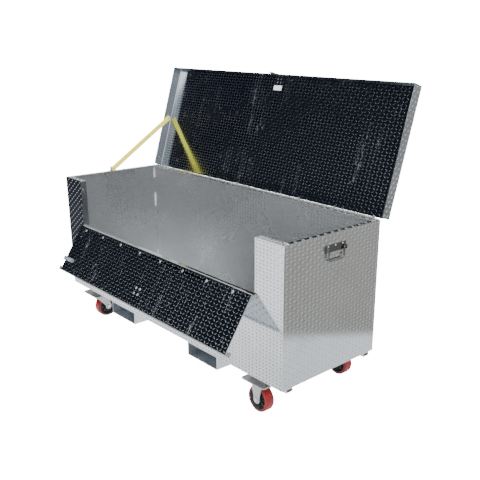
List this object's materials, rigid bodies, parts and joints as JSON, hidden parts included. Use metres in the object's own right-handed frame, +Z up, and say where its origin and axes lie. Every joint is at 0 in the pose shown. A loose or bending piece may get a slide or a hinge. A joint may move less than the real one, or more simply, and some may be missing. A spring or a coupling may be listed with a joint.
{
  "type": "rolling tool box",
  "caption": "Long sheet-metal tool chest with a lift-up lid, drop-down front door, fork pockets and casters, shown open.",
  "frame": {"origin": "centre of the floor pan's upper face, on the mount inside_floor", "axes": "X along the length, towards the end with the fixed casters; Y from the front door to the back wall; Z up"},
  "size_m": [1.834, 0.9988, 1.4131],
  "materials": {
    "tread_plate": "bright tread plate",
    "plain_sheet": "mill finish",
    "zinc_steel": "zinc plated",
    "chrome_steel": "polished",
    "red_tyre": "satin polyurethane",
    "dark_hub": "satin",
    "webbing": "woven",
    "white_label": "matt"
  },
  "bodies": {
    "chest": {"floor_pan": "plain_sheet", "back_wall": "plain_sheet", "left_wall": "tread_plate", "right_wall": "tread_plate", "lower_front_wall": "tread_plate", "left_front_post": "tread_plate", "right_front_post": "tread_plate", "left_post_cap": "plain_sheet", "right_post_cap": "plain_sheet", "left_fork_pocket": "plain_sheet", "right_fork_pocket": "plain_sheet", "front_rail_left": "zinc_steel", "front_rail_middle": "zinc_steel", "front_rail_right": "zinc_steel", "back_rail_left": "zinc_steel", "back_rail_middle": "zinc_steel", "back_rail_right": "zinc_steel", "front_right_caster_frame": "zinc_steel", "back_right_caster_frame": "zinc_steel", "front_right_axle": "zinc_steel", "back_right_axle": "zinc_steel", "front_left_caster_plate": "zinc_steel", "back_left_caster_plate": "zinc_steel", "lid_hinge_body_leaf": "zinc_steel", "lid_hinge_pin": "zinc_steel", "door_hinge_body_leaf": "zinc_steel", "door_hinge_pin": "zinc_steel", "left_door_stop": "zinc_steel", "right_door_stop": "zinc_steel", "left_handle_plate": "chrome_steel", "right_handle_plate": "chrome_steel", "lid_strap": "webbing", "strap_wall_bracket": "zinc_steel"},
    "lid": {"lid_hinge_lid_leaf": "zinc_steel", "lid_tray": "tread_plate", "lid_striker": "zinc_steel", "lid_label_plate": "white_label", "strap_lid_tab": "zinc_steel"},
    "door": {"door_hinge_door_leaf": "zinc_steel", "door_panel": "tread_plate", "door_edge_strip": "plain_sheet", "door_latch_plate": "zinc_steel", "bolt_housing": "chrome_steel"},
    "bolt": {"door_bolt": "chrome_steel"},
    "pawl": {"latch_pawl": "zinc_steel"},
    "left_bail": {"left_handle_bail": "chrome_steel"},
    "right_bail": {"right_handle_bail": "chrome_steel"},
    "front_left_swivel": {"front_left_swivel_fork": "zinc_steel", "front_left_axle": "zinc_steel"},
    "back_left_swivel": {"back_left_swivel_fork": "zinc_steel", "back_left_axle": "zinc_steel"},
    "front_left_wheel": {"front_left_tyre": "red_tyre", "front_left_hub": "dark_hub"},
    "back_left_wheel": {"back_left_tyre": "red_tyre", "back_left_hub": "dark_hub"},
    "front_right_wheel": {"front_right_tyre": "red_tyre", "front_right_hub": "dark_hub"},
    "back_right_wheel": {"back_right_tyre": "red_tyre", "back_right_hub": "dark_hub"}
  },
  "joints": [
    {"name": "lid_hinge", "type": "hinge", "parent": "chest", "child": "lid", "pos_m": [0, 0.3065, 0.637], "axis": [1, 0, 0], "range_deg": [0, 107], "deforming": ["lid_strap"]},
    {"name": "door_hinge", "type": "hinge", "parent": "chest", "child": "door", "pos_m": [0, -0.3065, 0.383], "axis": [-1, 0, 0], "range_deg": [0, 147]},
    {"name": "door_bolt_slide", "type": "slide", "parent": "door", "child": "bolt", "axis": [-1, 0, 0], "range_m": [0, 0.02]},
    {"name": "latch_pawl_turn", "type": "hinge", "parent": "door", "child": "pawl", "pos_m": [0, -0.40599, 0.21272], "axis": [0, 0.8387, -0.5446], "range_deg": [0, 180]},
    {"name": "left_handle_swing", "type": "hinge", "parent": "chest", "child": "left_bail", "pos_m": [-0.909, 0, 0.567], "axis": [0, 1, 0], "range_deg": [0, 95]},
    {"name": "right_handle_swing", "type": "hinge", "parent": "chest", "child": "right_bail", "pos_m": [0.909, 0, 0.567], "axis": [0, -1, 0], "range_deg": [0, 95]},
    {"name": "front_left_caster_turn", "type": "hinge", "parent": "chest", "child": "front_left_swivel", "pos_m": [-0.69, -0.262, -0.1133], "axis": [0, 0, 1], "continuous": true},
    {"name": "front_left_wheel_roll", "type": "hinge", "parent": "front_left_swivel", "child": "front_left_wheel", "pos_m": [-0.69, -0.217, -0.1133], "axis": [1, 0, 0], "continuous": true},
    {"name": "back_left_caster_turn", "type": "hinge", "parent": "chest", "child": "back_left_swivel", "pos_m": [-0.69, 0.262, -0.1133], "axis": [0, 0, 1], "continuous": true},
    {"name": "back_left_wheel_roll", "type": "hinge", "parent": "back_left_swivel", "child": "back_left_wheel", "pos_m": [-0.69, 0.307, -0.1133], "axis": [1, 0, 0], "continuous": true},
    {"name": "front_right_wheel_roll", "type": "hinge", "parent": "chest", "child": "front_right_wheel", "pos_m": [0.73, -0.262, -0.1133], "axis": [0, 1, 0], "continuous": true},
    {"name": "back_right_wheel_roll", "type": "hinge", "parent": "chest", "child": "back_right_wheel", "pos_m": [0.73, 0.262, -0.1133], "axis": [0, 1, 0], "continuous": true}
  ]
}
